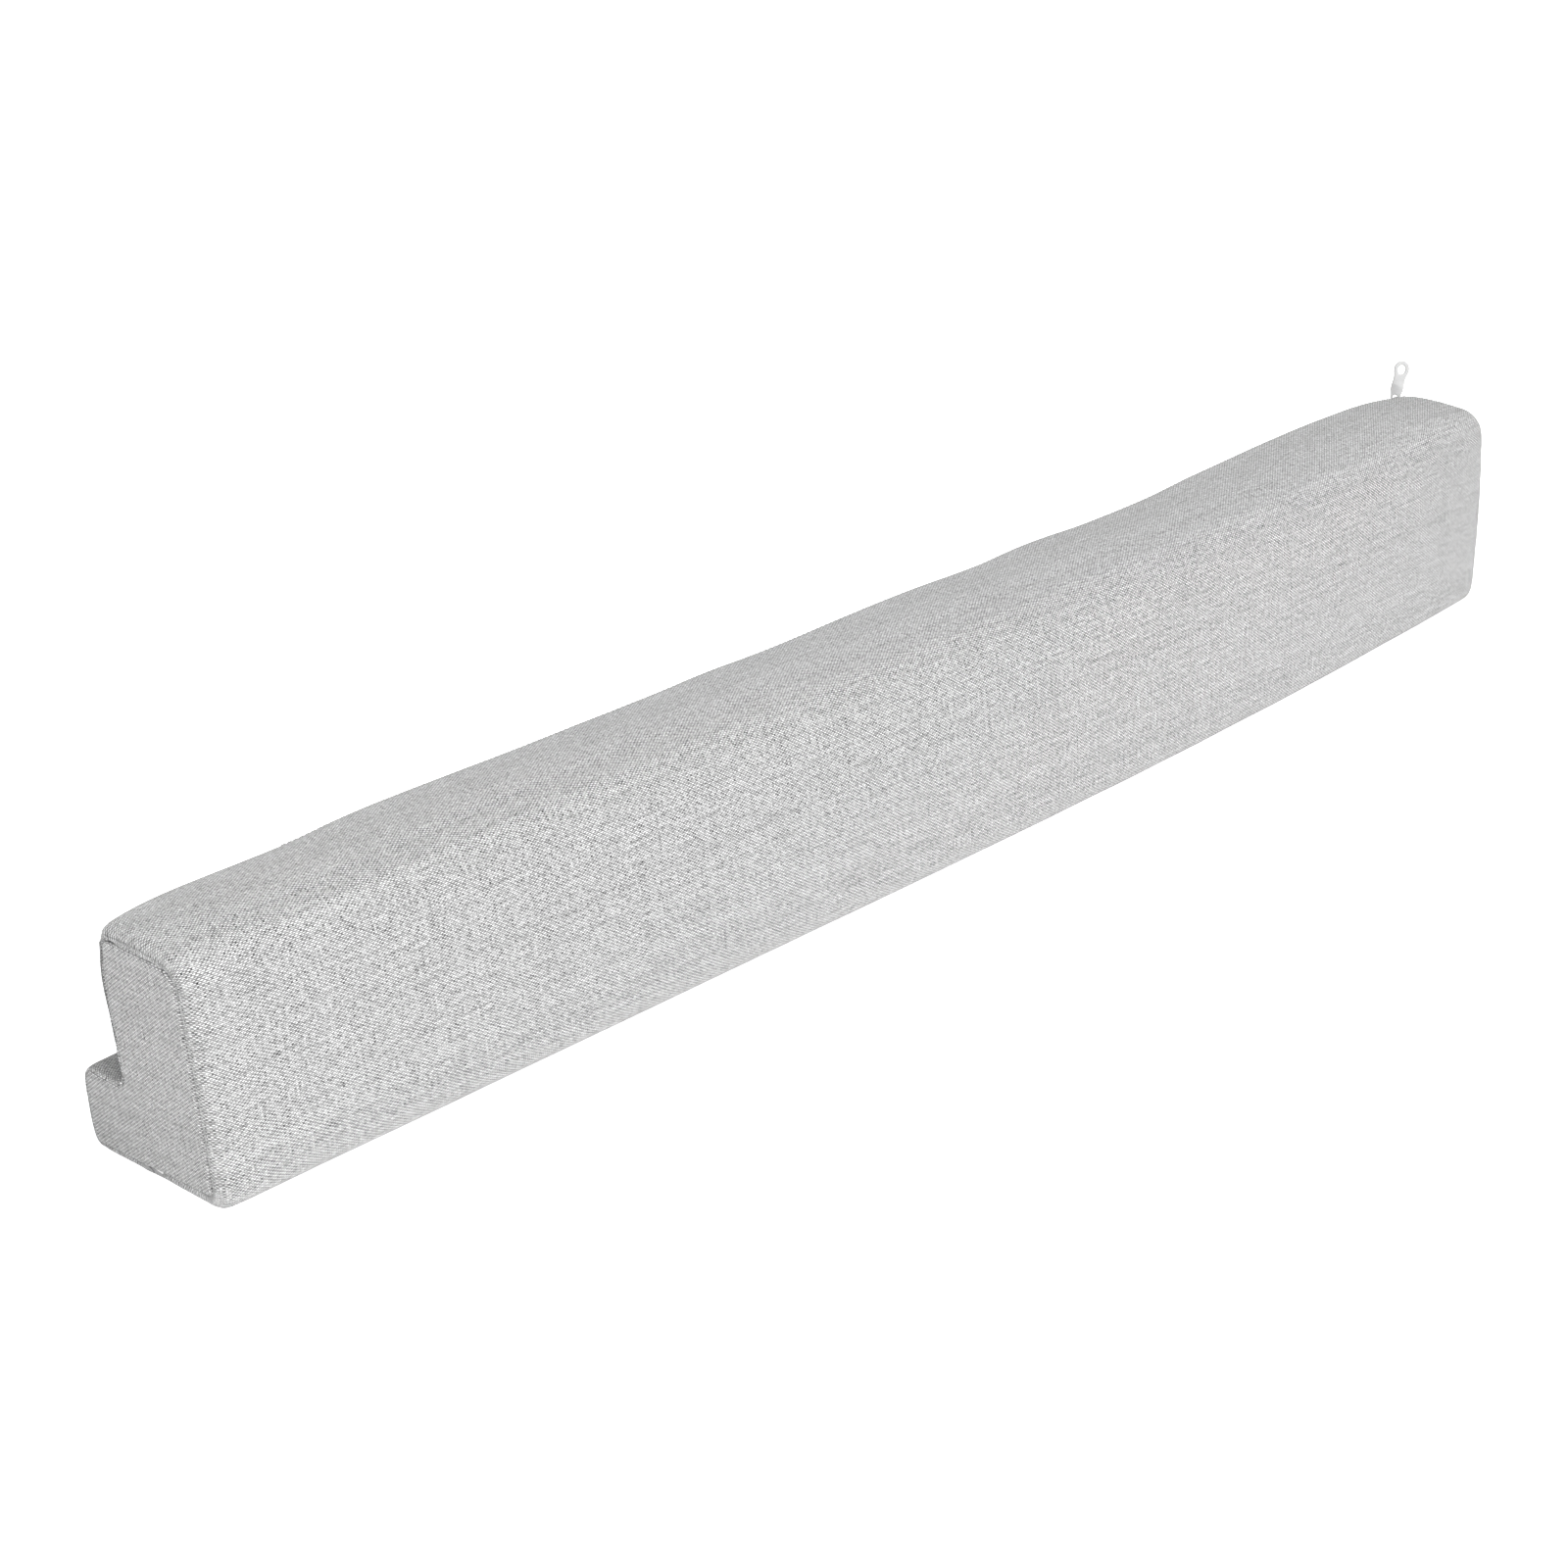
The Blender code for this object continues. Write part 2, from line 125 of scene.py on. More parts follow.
def seen_by_camera(tree):
    """A socket that is 1 for rays from the camera and 0 for all others."""
    return tree.nodes.new("ShaderNodeLightPath").outputs["Is Camera Ray"]


scene = bpy.context.scene
scene.view_settings.view_transform = "Standard"
world = bpy.data.worlds.new("studio")
world.use_nodes = True
sky = world.node_tree.nodes["Background"]
sky.inputs["Color"].default_value = (1, 1, 1, 1)
brighter = world.node_tree.nodes.new("ShaderNodeMath")
brighter.operation = "MAXIMUM"
brighter.inputs[1].default_value = SKY_STRENGTH
world.node_tree.links.new(seen_by_camera(world.node_tree), brighter.inputs[0])
world.node_tree.links.new(brighter.outputs[0], sky.inputs["Strength"])
scene.world = world


def add_lamp(name, kind, energy, towards):
    """A lamp that shines from the direction of towards."""
    lamp_data = bpy.data.lights.new(name, kind)
    lamp_data.energy = energy
    lamp = bpy.data.objects.new(name, lamp_data)
    scene.collection.objects.link(lamp)
    lamp.rotation_mode = "QUATERNION"
    lamp.rotation_quaternion = (-towards).to_track_quat("-Z", "Y")
    return lamp


for index, light in enumerate(SUNS):
    towards = direction(math.radians(light["azimuth"]), math.radians(light["elevation"]))
    sun = add_lamp("sun_" + str(index), "SUN", light["strength"], towards)
    sun.data.angle = math.radians(light["wide"])
square_lamp = add_lamp("square_lamp", "AREA", LAMP_POWER, LAMP_PLACE - LAMP_AIM)
square_lamp.data.size = LAMP_SIZE
square_lamp.location = LAMP_PLACE

floor_builder = bmesh.new()
bmesh.ops.create_grid(floor_builder, x_segments=1, y_segments=1, size=FLOOR_SIZE / 2)
floor_mesh = bpy.data.meshes.new("floor")
floor_builder.to_mesh(floor_mesh)
floor_builder.free()
floor = bpy.data.objects.new("floor", floor_mesh)
scene.collection.objects.link(floor)
floor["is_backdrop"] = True
print("floor", FLOOR_SIZE, "m across, lit by", len(SUNS), "suns and a lamp")

# %% [markdown]
# Finishes are node trees. Wiring dozens of Math nodes by hand is hard to read back, so a small
# class wraps an output socket and lets a sum be written as a sum.

# %% Sums that build nodes
class Wire:
    """An output socket that can be used in sums."""

    def __init__(self, recipe, socket):
        self.recipe = recipe
        self.socket = socket

    def sum(self, operation, *values):
        return self.recipe.node("ShaderNodeMath", {"operation": operation}, values)

    def __add__(self, other):
        return self.sum("ADD", self, other)

    def __radd__(self, other):
        return self.sum("ADD", other, self)

    def __sub__(self, other):
        return self.sum("SUBTRACT", self, other)

    def __rsub__(self, other):
        return self.sum("SUBTRACT", other, self)

    def __mul__(self, other):
        return self.sum("MULTIPLY", self, other)

    def __rmul__(self, other):
        return self.sum("MULTIPLY", other, self)

    def __truediv__(self, other):
        return self.sum("DIVIDE", self, other)

    def __abs__(self):
        return self.sum("ABSOLUTE", self)

    def __round__(self):
        return self.sum("ROUND", self)

    def over(self, other):
        return self.sum("GREATER_THAN", self, other)

    def largest(self, other):
        return self.sum("MAXIMUM", self, other)

    def cosine(self):
        return self.sum("COSINE", self)


print("sockets can be used in sums")

# %% [markdown]
# A recipe is the node tree of one finish. One method adds any node from its type, its settings and
# its inputs. The others are short names for the few nodes that cloth, thread and plastic need.

# %% Recipes for finishes
class Recipe:
    """The node tree of one finish."""

    def __init__(self, name, roughness, **constants):
        self.material = bpy.data.materials.new(name)
        self.material.use_nodes = True
        self.tree = self.material.node_tree
        self.shader = self.tree.nodes["Principled BSDF"]
        self.shader.inputs["Roughness"].default_value = roughness
        for socket, value in constants.items():
            self.shader.inputs[socket.replace("_", " ")].default_value = value

    def feed(self, socket, value):
        if isinstance(value, Wire):
            self.tree.links.new(value.socket, socket)
        else:
            socket.default_value = value

    def node(self, kind, settings=None, inputs=(), output=0):
        node = self.tree.nodes.new(kind)
        for name, value in (settings or {}).items():
            setattr(node, name, value)
        named = inputs.items() if isinstance(inputs, dict) else enumerate(inputs)
        for key, value in named:
            self.feed(node.inputs[key], value)
        return Wire(self, node.outputs[output])

    def point(self, x, y):
        return self.node("ShaderNodeCombineXYZ", inputs=(x, y))

    def grain(self):
        """The piece's own map in metres: as one vector, along the cloth, and across it."""
        whole = self.node("ShaderNodeUVMap", {"uv_map": "grain"})
        parts = self.tree.nodes.new("ShaderNodeSeparateXYZ")
        self.feed(parts.inputs[0], whole)
        return whole, Wire(self, parts.outputs[0]), Wire(self, parts.outputs[1])

    def noise(self, where, scale, detail):
        inputs = {"Vector": where, "Scale": scale, "Detail": detail}
        return self.node("ShaderNodeTexNoise", inputs=inputs)

    def chance(self, value):
        """A random number from 0 to 1 for each value."""
        return self.node("ShaderNodeTexWhiteNoise", {"noise_dimensions": "1D"}, {"W": value})

    def spread(self, value, low, high, to_low=0.0, to_high=1.0):
        """Values from low to high mapped onto another range, and held at its ends."""
        inputs = {
            "Value": value, "From Min": low, "From Max": high,
            "To Min": to_low, "To Max": to_high,
        }
        return self.node("ShaderNodeMapRange", {"interpolation_type": "SMOOTHSTEP"}, inputs)

    def blend(self, share, first, second):
        """From first to second, number by number, as the share goes from 0 to 1."""
        return first + (second - first) * share

    def grey(self, value):
        return self.node("ShaderNodeCombineColor", inputs=(value, value, value))

    def finish(self, color, height, depth):
        """The finished material: its colour, and a bump of this depth in metres."""
        self.feed(self.shader.inputs["Base Color"], color)
        bump = self.node("ShaderNodeBump", inputs={"Height": height, "Distance": depth})
        self.feed(self.shader.inputs["Normal"], bump)
        return self.material


print("finishes are written as recipes")

# %% [markdown]
# The cover is a plain weave of two yarns: a darker one that runs round the bar and a lighter one
# that runs along it, seven and ten to the centimetre. Where each comes to the top it makes a small
# checkerboard, and seen at a slant its diagonals show as fine hatching. Each crossing has a shade
# of its own, and uneven yarns, called slubs, leave faint streaks and a fine mottling. A picture of
# cloth could be wrapped round the bar, but a pattern that is worked out from the yarns stays sharp
# from any distance, and its bump comes from the same sums as its colour. Linen has a soft fuzz that
# catches light at a slant, and that is what sheen is for.

# %% Cloth finish
ALONG_PITCH = 0.00136
AROUND_PITCH = 0.00103
YARN_WANDER = 0.55
WANDER_SCALE = 60
WARP = {"seed": 3.7, "slub_length": 0.007, "own": 0.10, "base": -0.12}
WEFT = {"seed": 71.3, "slub_length": 0.020, "own": 0.22, "base": 0.37}
YARN_APART = 7.31
YARN_ROUND = 0.45
FIBRE_LENGTH = 0.0016
FIBRE_WIDTH = 0.00022
MOTTLE_SCALE = 420
SLUB_TONE = 0.26
CROSSING_TONE = 0.25
FIBRE_TONE = 0.12
MOTTLE_TONE = 0.28
GAP_SHADE = 0.30
CLOTH_DEPTH = 0.00036


def yarn_tone(recipe, yarn, along, kind):
    """How light one yarn is at a place along it: its kind, its own shade and its slubs."""
    own = recipe.chance(yarn + kind["seed"])
    place = recipe.point(yarn * YARN_APART + kind["seed"], along / kind["slub_length"])
    slubs = recipe.noise(place, 1.0, 2.0)
    return own * kind["own"] + recipe.spread(slubs, 0.25, 0.75) * SLUB_TONE + kind["base"]


def cloth_finish(name, dark, light):
    """Plain weave: the yarns' heights, their tones, and the shade in the gaps between them."""
    recipe = Recipe(name, 0.92, Sheen_Weight=0.6, Sheen_Roughness=0.4, Specular_IOR_Level=0.2)
    grain, along, around = recipe.grain()
    wander = recipe.noise(grain, WANDER_SCALE, 2.0) - 0.5
    warp = along / ALONG_PITCH + wander * YARN_WANDER
    weft = around / AROUND_PITCH - wander * YARN_WANDER
    warp_wave = (warp * math.pi).cosine()
    weft_wave = (weft * math.pi).cosine()
    over = warp_wave * weft_wave
    warp_height = abs(warp_wave) * (over * YARN_ROUND + (1 - YARN_ROUND))
    weft_height = abs(weft_wave) * ((1 - YARN_ROUND) - over * YARN_ROUND)
    height = warp_height.largest(weft_height)

    crossing = recipe.node(
        "ShaderNodeTexWhiteNoise", {"noise_dimensions": "2D"},
        {"Vector": recipe.point(round(warp), round(weft))})
    warp_tone = yarn_tone(recipe, round(warp), around, WARP)
    weft_tone = yarn_tone(recipe, round(weft), along, WEFT)
    tone = recipe.blend(warp_height.over(weft_height), weft_tone, warp_tone)
    fibres = recipe.noise(recipe.point(along / FIBRE_WIDTH, around / FIBRE_LENGTH), 1.0, 1.0)
    mottle = recipe.spread(recipe.noise(grain, MOTTLE_SCALE, 1.0), 0.3, 0.7)
    tone = tone + crossing * CROSSING_TONE + fibres * FIBRE_TONE + mottle * MOTTLE_TONE
    shade = recipe.spread(height, 0.10, 0.80, to_low=GAP_SHADE)
    value = recipe.blend(tone, dark, light) * shade
    return recipe.finish(recipe.grey(value), height, CLOTH_DEPTH)


cover_cloth = cloth_finish("cover_cloth", 0.01, 0.88)
print("yarns in a centimetre:", [round(0.01 / pitch, 1) for pitch in (ALONG_PITCH, AROUND_PITCH)])

# %% [markdown]
# The pull and slider are white plastic, the stitching is a grey thread, the zip's tape a ribbed
# weave, its coil nylon and the floor plain paper. Each gets a fine unevenness of its own, because
# a flat colour looks like no material at all.

# %% Small finishes
RIB_PITCH = 0.0007
RIB_DEPTH = 0.00012
# The share of the tape's colour that is painted shade in the grooves; the rest is the yarns' own
# tone.
RIB_SHADE_SHARE = 0.6
PALE = (0.62, 0.62, 0.62)


def ribbed_finish(name, dark, light):
    """A narrow woven tape: fine ridges along it with painted shade in the grooves, and yarns of
    uneven tone across.
    """
    recipe = Recipe(name, 0.9)
    along, around = recipe.grain()[1:]
    rib_height_and_shade = abs((around / RIB_PITCH * math.pi).cosine())
    yarns = recipe.chance(round(along / RIB_PITCH))
    # Painted shade: the colour darkens in the grooves, following the same rib height as the bump.
    value = recipe.blend(rib_height_and_shade * RIB_SHADE_SHARE + yarns * (1 - RIB_SHADE_SHARE), dark, light)
    return recipe.finish(recipe.grey(value), rib_height_and_shade, RIB_DEPTH)


def speckled_finish(name, color, contrast, scale, roughness, depth, **constants):
    """A colour with fine speckles and a faint grain."""
    recipe = Recipe(name, roughness, **constants)
    where = recipe.node("ShaderNodeTexCoord", output="Object")
    specks = recipe.noise(where, scale, 3.0)
    share = recipe.spread(specks, 0.3, 0.7, to_low=1 - contrast)
    channels = [share * part for part in color]
    tint = recipe.node("ShaderNodeCombineColor", inputs=channels)
    return recipe.finish(tint, specks, depth)


white_plastic = speckled_finish(
    "white_plastic", PALE, contrast=0.05, scale=900, roughness=0.55, depth=0.00002,
    Specular_IOR_Level=0.3)
thread = speckled_finish(
    "thread", (0.40, 0.40, 0.40), contrast=0.3, scale=2500, roughness=0.8, depth=0.00005)
tape_cloth = ribbed_finish("tape_cloth", 0.30, 0.60)
coil_nylon = speckled_finish(
    "coil_nylon", PALE, contrast=0.1, scale=900, roughness=0.45, depth=0.00002)
paper = speckled_finish(
    "paper", (0.92, 0.92, 0.92), contrast=0.01, scale=3, roughness=0.9, depth=0.0,
    Emission_Strength=1.0)
paper_tree = paper.node_tree
paper_shader = paper_tree.nodes["Principled BSDF"]
paper_tree.links.new(seen_by_camera(paper_tree), paper_shader.inputs["Emission Color"])
floor.data.materials.append(paper)
print("finishes:", len(bpy.data.materials))

# %% [markdown]
# Every piece is added in the same way: its mesh comes from a bmesh builder, it gets one finish and it
# rides on the body of the bar.

# %% Adding a piece
def add_piece(name, builder, finish, slot):
    """A smooth piece from a bmesh builder, on the body of the bar. The slot is not used."""
    mesh = bpy.data.meshes.new(name)
    builder.to_mesh(mesh)
    builder.free()
    mesh.shade_smooth()
    mesh.materials.append(finish)
    piece = bpy.data.objects.new(name, mesh)
    scene.collection.objects.link(piece)
    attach(piece, "root")
    return piece


print("pieces are added by add_piece")

# %% [markdown]
# The cover, the end panels and the plastic follow the construction model closely, so they start as
# copies of it. The model is made of triangles and a subdivision surface rounds quads better, so
# the triangles are joined back in pairs. A flat end becomes one face with a narrow rim round it.

# %% Copies of the construction model
MERGE_DISTANCE = 0.000001
QUAD_BEND = math.radians(60)
QUAD_SKEW = math.radians(90)
END_DEPTH = 0.015
END_FACING = 0.93


def copy_of(node):
    """The faces of a construction node, merged and joined back into quads."""
    builder = bmesh.new()
    builder.from_mesh(nodes[node].data)
    bmesh.ops.remove_doubles(builder, verts=builder.verts, dist=MERGE_DISTANCE)
    bmesh.ops.join_triangles(
        builder, faces=builder.faces, angle_face_threshold=QUAD_BEND,
        angle_shape_threshold=QUAD_SKEW,
    )
    return builder


def clean_ends(builder, support):
    """Make each flat end one face again, with a narrow rim round it that keeps its edge, and
    cut what lies inside the rim into triangles, because the L's own middle is outside it."""
    bmesh.ops.recalc_face_normals(builder, faces=builder.faces)
    for side in (-1, 1):
        reach = max(vert.co.x * side for vert in builder.verts)
        flat = [face for face in builder.faces if face.normal.x * side > END_FACING
                and face.calc_center_median().x * side > reach - END_DEPTH]
        whole = bmesh.ops.dissolve_faces(builder, faces=flat, use_verts=False)["region"]
        bmesh.ops.inset_region(builder, faces=whole, thickness=support, use_even_offset=False)
        bmesh.ops.triangulate(builder, faces=whole)


print("the construction model's faces:", sum(len(node.data.polygons) for node in nodes.values()))

# %% [markdown]
# The bar is bowed and sways a little, so a piece that lies on it has to know where the surface
# is. Rays that are shot at the construction model from outside find it, and a table of places
# along the bar holds what they find.

# %% Measure the bar
skin = BVHTree.FromObject(nodes["cushion"], bpy.context.evaluated_depsgraph_get())
bar_low, bar_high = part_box("cushion")
NEAR_MARGIN = 0.03
FAR_MARGIN = 0.02
PLACE_COUNT = 60
PLACES = np.linspace(bar_low.x + NEAR_MARGIN, bar_high.x - FAR_MARGIN, PLACE_COUNT)
TOP_LEVEL = 0.125
ARM_LEVEL = 0.100
BASE_LEVEL = 0.026
OUTSIDE = 0.3


def depth_at(x, level, towards):
    """Where a ray along Y that starts outside the bar meets it."""
    start = Vector((x, -towards * OUTSIDE, level))
    return skin.ray_cast(start, Vector((0, towards, 0)))[0].y


front_top = np.array([depth_at(x, TOP_LEVEL, 1) for x in PLACES])
front_base = np.array([depth_at(x, BASE_LEVEL, 1) for x in PLACES])
arm_back = np.array([depth_at(x, ARM_LEVEL, -1) for x in PLACES])
foot_back = np.array([depth_at(x, BASE_LEVEL, -1) for x in PLACES])
print("front bows out", round(float(front_base[0] - front_base.min()) * 1000, 1), "mm")

# %% [markdown]
# The cloth's grain is one flat pattern that is rolled round the bar, so each point of the cover
# needs its distance round the bar and its distance along it. Going round, every face is straight
# and every edge is a quarter circle. The distance is a running total: before an edge it is a
# straight measure, and on the edge it is an angle times the radius.

# %% Distance round the bar
TOP = 0.150
FOOT_TOP = 0.0535
CORNER_RADIUS = 0.012
BACK, AHEAD, UP, DOWN = (1, 0), (-1, 0), (0, 1), (0, -1)
EDGES = (
    {"y": arm_back, "z": TOP, "into": UP, "out_of": AHEAD, "radius": CORNER_RADIUS},
    {"y": front_top, "z": TOP, "into": AHEAD, "out_of": DOWN, "radius": 0.019},
    {"y": front_base, "z": 0.0, "into": DOWN, "out_of": BACK, "radius": 0.016},
    {"y": foot_back, "z": 0.0, "into": BACK, "out_of": UP, "radius": 0.011},
    {"y": foot_back, "z": FOOT_TOP, "into": UP, "out_of": AHEAD, "radius": 0.010},
    {"y": arm_back, "z": FOOT_TOP, "into": AHEAD, "out_of": UP, "radius": 0.004},
    {"y": arm_back, "z": TOP, "into": UP, "out_of": AHEAD, "radius": CORNER_RADIUS},
)
QUARTER = math.pi / 2


def edge_places(x):
    """Each edge's corner at these places along the bar, as arrays of Y and Z."""
    return [
        np.stack([np.interp(x, PLACES, edge["y"]), np.full(len(x), edge["z"])], axis=1)
        for edge in EDGES
    ]


def round_bar(points, after_zip):
    """The distance round the bar, from the zip over the top and the front, for each point. On
    the zip's own edge, after_zip says which points belong to the top."""
    corners = edge_places(points[:, 0])
    flat = points[:, 1:]
    nearest = np.argmin([np.linalg.norm(flat - corner, axis=1) for corner in corners[:-1]], axis=0)
    nearest[(nearest == 0) & ~after_zip] = len(EDGES) - 1
    result = np.zeros(len(points))
    total = np.zeros(len(points))
    for index, (edge, corner) in enumerate(zip(EDGES, corners)):
        radius = edge["radius"]
        if index:
            last = EDGES[index - 1]["radius"]
            run = np.linalg.norm(corner - corners[index - 1], axis=1)
            total = total + last * QUARTER + run - last - radius
        into, out_of = np.array(edge["into"]), np.array(edge["out_of"])
        offset = flat - (corner - radius * into + radius * out_of)
        before, past = offset @ into, offset @ out_of
        angle = np.arctan2(np.maximum(before, 0), np.maximum(-past, 0))
        local = np.where(before <= 0, before, np.where(past >= 0, radius * QUARTER + past,
                                                       radius * angle))
        mine = nearest == index
        result[mine] = (total + local)[mine]
    return result


print("round the bar:", len(EDGES) - 1, "edges")

# %% [markdown]
# The two ends lean a little, and their edges are rounded as well. So the plane of each end is
# fitted to the outer face of its panel by least squares, and near it the distance along the bar
# follows the roundness instead of jumping over it.

# %% Distance along the bar
END_ROUND = 0.008
PANEL_FACE = 0.0005


def positions(mesh):
    """The mesh's points as rows of X, Y and Z."""
    points = np.zeros(len(mesh.vertices) * 3)
    mesh.vertices.foreach_get("co", points)
    return points.reshape(-1, 3)


def end_plane(node, side):
    """The plane of one sewn end as X = a + b * Y + c * Z, from the panel's outer face."""
    points = positions(nodes[node].data)
    level = np.stack([np.ones(len(points)), points[:, 1], points[:, 2]], axis=1)
    plane = np.linalg.lstsq(level, points[:, 0], rcond=None)[0]
    outer = (points[:, 0] - level @ plane) * side > PANEL_FACE
    return np.linalg.lstsq(level[outer], points[outer, 0], rcond=None)[0]


NEAR_PLANE = end_plane("end_panel_near", -1)
FAR_PLANE = end_plane("end_panel_far", 1)


def inside_ends(points):
    """How far each point lies inside the near end and inside the far end."""
    level = np.stack([np.ones(len(points)), points[:, 1], points[:, 2]], axis=1)
    return points[:, 0] - level @ NEAR_PLANE, level @ FAR_PLANE - points[:, 0]


def along_bar(points):
    """The distance along the bar, with the rounded ends unrolled too."""
    along = points[:, 0].copy()
    for side, inside in zip((-1, 1), inside_ends(points)):
        share = np.clip(inside / END_ROUND, 0, 1)
        arc = END_ROUND * (1 - np.arcsin(1 - share)) - np.minimum(inside, END_ROUND)
        along -= side * arc
    return along


print("the ends meet the X axis at", [round(float(plane[0]), 4) for plane in (NEAR_PLANE, FAR_PLANE)])

# %% [markdown]
# Both distances go into a UV map, which keeps a pair of numbers for every corner of every face. At
# the zip the cloth's two edges meet, so a face has to know on which side of the zip it lies.

# %% Laying the grain
def corner_points(mesh):
    """Which point each corner of a face stands on."""
    indices = np.zeros(len(mesh.loops), int)
    mesh.loops.foreach_get("vertex_index", indices)
    return indices


def write_grain(mesh, grain):
    """Keep the cloth's grain as a UV map, in metres, one pair for each corner of a face."""
    layer = mesh.uv_layers.new(name="grain")
    layer.data.foreach_set("uv", grain.ravel())


def lay_grain(piece):
    """Write the unrolled distances, in metres, as the piece's UV map."""
    mesh = piece.data
    sizes = np.zeros(len(mesh.polygons), int)
    mesh.polygons.foreach_get("loop_total", sizes)
    centres = np.zeros(len(mesh.polygons) * 3)
    mesh.polygons.foreach_get("center", centres)
    centres = np.repeat(centres.reshape(-1, 3), sizes, axis=0)
    zip_corner = edge_places(centres[:, 0])[0]
    after_zip = (centres[:, 2] - zip_corner[:, 1]) > (centres[:, 1] - zip_corner[:, 0])
    corners = positions(mesh)[corner_points(mesh)]
    grain = np.stack([along_bar(corners), round_bar(corners, after_zip)], axis=1)
    write_grain(mesh, grain)
    return grain


print("the grain is laid in metres")

# %% [markdown]
# The wrap is one cloth that starts at the zip, goes over the top, down the front, under the base
# and up the foot and the arm's back to the zip again. Its form is copied from the construction
# model, its longest faces are cut in two, and a subdivision surface rounds it.

# %% Cover
LONG_EDGE = 0.009
SUPPORT = 0.0025

cover_builder = copy_of("cushion")
clean_ends(cover_builder, SUPPORT)
long_edges = [edge for edge in cover_builder.edges if edge.calc_length() > LONG_EDGE
              and abs(edge.verts[0].co.x - edge.verts[1].co.x) < edge.calc_length() / 2
              and not any(len(face.verts) > 4 for face in edge.link_faces)]
bmesh.ops.subdivide_edges(cover_builder, edges=long_edges, cuts=1, use_grid_fill=True)
cover = add_piece("cover", cover_builder, cover_cloth, "cover_cloth")


def apply_modifiers(piece):
    """Keep the shape that the modifiers give and take them off."""
    graph = bpy.context.evaluated_depsgraph_get()
    shaped = bpy.data.meshes.new_from_object(piece.evaluated_get(graph))
    piece.modifiers.clear()
    old = piece.data
    piece.data = shaped
    bpy.data.meshes.remove(old)


def round_off(piece, levels):
    """Add a subdivision surface of so many levels."""
    rounding = piece.modifiers.new("rounding", "SUBSURF")
    rounding.levels = rounding.render_levels = levels


def subdivide(piece, levels):
    """Round the piece off and keep the points that this adds."""
    round_off(piece, levels)
    apply_modifiers(piece)


subdivide(cover, 1)
print("cover before it settles:", len(cover.data.polygons), "faces")

# %% [markdown]
# Foam fills a cover from inside, and a cloth simulation shows how: it presses the cloth outwards,
# held at the sewn ends, the zip and the base. The foam is firm, so no point may move more than a
# cap of about a millimetre. The second subdivision comes after it and keeps the cloth smooth.

# %% Let the foam press the cover out
SETTLE_FRAMES = 12
SETTLE_CAP = 0.0009
FOAM_PRESSURE = 1.5
HELD_REACH = 0.012
ZIP_SEAT_SIDE = 0.004
STILL = 1e-9
ZIP_ANGLE = math.radians(20)
ZIP_TOWARDS = np.array([math.cos(ZIP_ANGLE), math.sin(ZIP_ANGLE)])


def settle(piece, held, cap):
    """Let the cloth swell under the foam's pressure, no point moving further than the cap."""
    before = positions(piece.data)
    group = piece.vertex_groups.new(name="held")
    for index in np.flatnonzero(held > 0):
        group.add([int(index)], float(held[index]), "REPLACE")
    cloth = piece.modifiers.new("settling", "CLOTH")
    cloth.settings.vertex_group_mass = "held"
    cloth.settings.use_pressure = True
    cloth.settings.uniform_pressure_force = FOAM_PRESSURE
    cloth.settings.effector_weights.gravity = 0
    for frame_number in range(1, SETTLE_FRAMES + 1):
        scene.frame_set(frame_number)
    graph = bpy.context.evaluated_depsgraph_get()
    moves = positions(piece.evaluated_get(graph).data) - before
    scene.frame_set(1)
    piece.modifiers.clear()
    piece.vertex_groups.clear()
    lengths = np.linalg.norm(moves, axis=1, keepdims=True)
    moves *= np.minimum(1, cap / np.maximum(lengths, STILL))
    piece.data.vertices.foreach_set("co", (before + moves).ravel())
    piece.data.update()
    return moves


def zip_distance(points):
    """How far each point is from the middle of the zip's seat, across the bar."""
    corner = edge_places(points[:, 0])[0] - CORNER_RADIUS + CORNER_RADIUS * ZIP_TOWARDS
    return np.linalg.norm(points[:, 1:] - corner, axis=1)


places = positions(cover.data)
free = np.minimum(np.minimum(*inside_ends(places)), places[:, 2])
free = np.minimum(free, zip_distance(places) - ZIP_SEAT_SIDE)
held = 1 - np.clip(free / HELD_REACH, 0, 1)
moves = settle(cover, held, SETTLE_CAP)
print("the cloth moved", round(float(np.linalg.norm(moves, axis=1).max()) * 1000, 2), "mm")
subdivide(cover, 1)

# %% [markdown]
# Sewing gathers the cloth a little. Beside the two end seams it ripples, and over the rest of the
# bar it is only very slightly uneven. Both are moves along the surface's normal, by smooth noise
# that is read at each point's place, so they come out the same in every run.

# %% Ripples
SEAM_RIPPLE = 0.00035
RIPPLE_LENGTH = 0.011
RIPPLE_REACH = 0.016
UNEVEN = 0.00035
UNEVEN_LENGTH = 0.055
FLOOR_REACH = 0.004


def normals(mesh):
    """The direction in which the surface faces at each point."""
    values = np.zeros(len(mesh.vertices) * 3)
    mesh.vertex_normals.foreach_get("vector", values)
    return values.reshape(-1, 3)


def smooth_noise(points, length):
    """Values from about -1 to 1 that change slowly, over about this length."""
    return np.array([noise.noise(Vector(point / length)) for point in points])


points = positions(cover.data)
beside_seam = 1 - np.clip(np.minimum(*inside_ends(points)) / RIPPLE_REACH, 0, 1)
off_floor = np.clip(points[:, 2] / FLOOR_REACH, 0, 1)
lift = SEAM_RIPPLE * beside_seam * smooth_noise(points, RIPPLE_LENGTH)
lift += UNEVEN * smooth_noise(points, UNEVEN_LENGTH)
points += normals(cover.data) * (lift * off_floor)[:, None]
cover.data.vertices.foreach_set("co", points.ravel())
cover.data.update()
grain = lay_grain(cover)
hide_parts("cushion")
print("cover:", len(cover.data.polygons), "faces, cloth", round(float(np.ptp(grain[:, 1])), 3),
      "m round the bar")

# %% [markdown]
# Each end is closed by an L-shaped panel, cut from the same cloth and sewn in with a plain seam.
# A panel is a thin sheet that the foam stretches flat.

# %% End panels
PANEL_SUPPORT = 0.0020
PANEL_SWELL = 0.00024
PANEL_RIPPLE = 0.00022


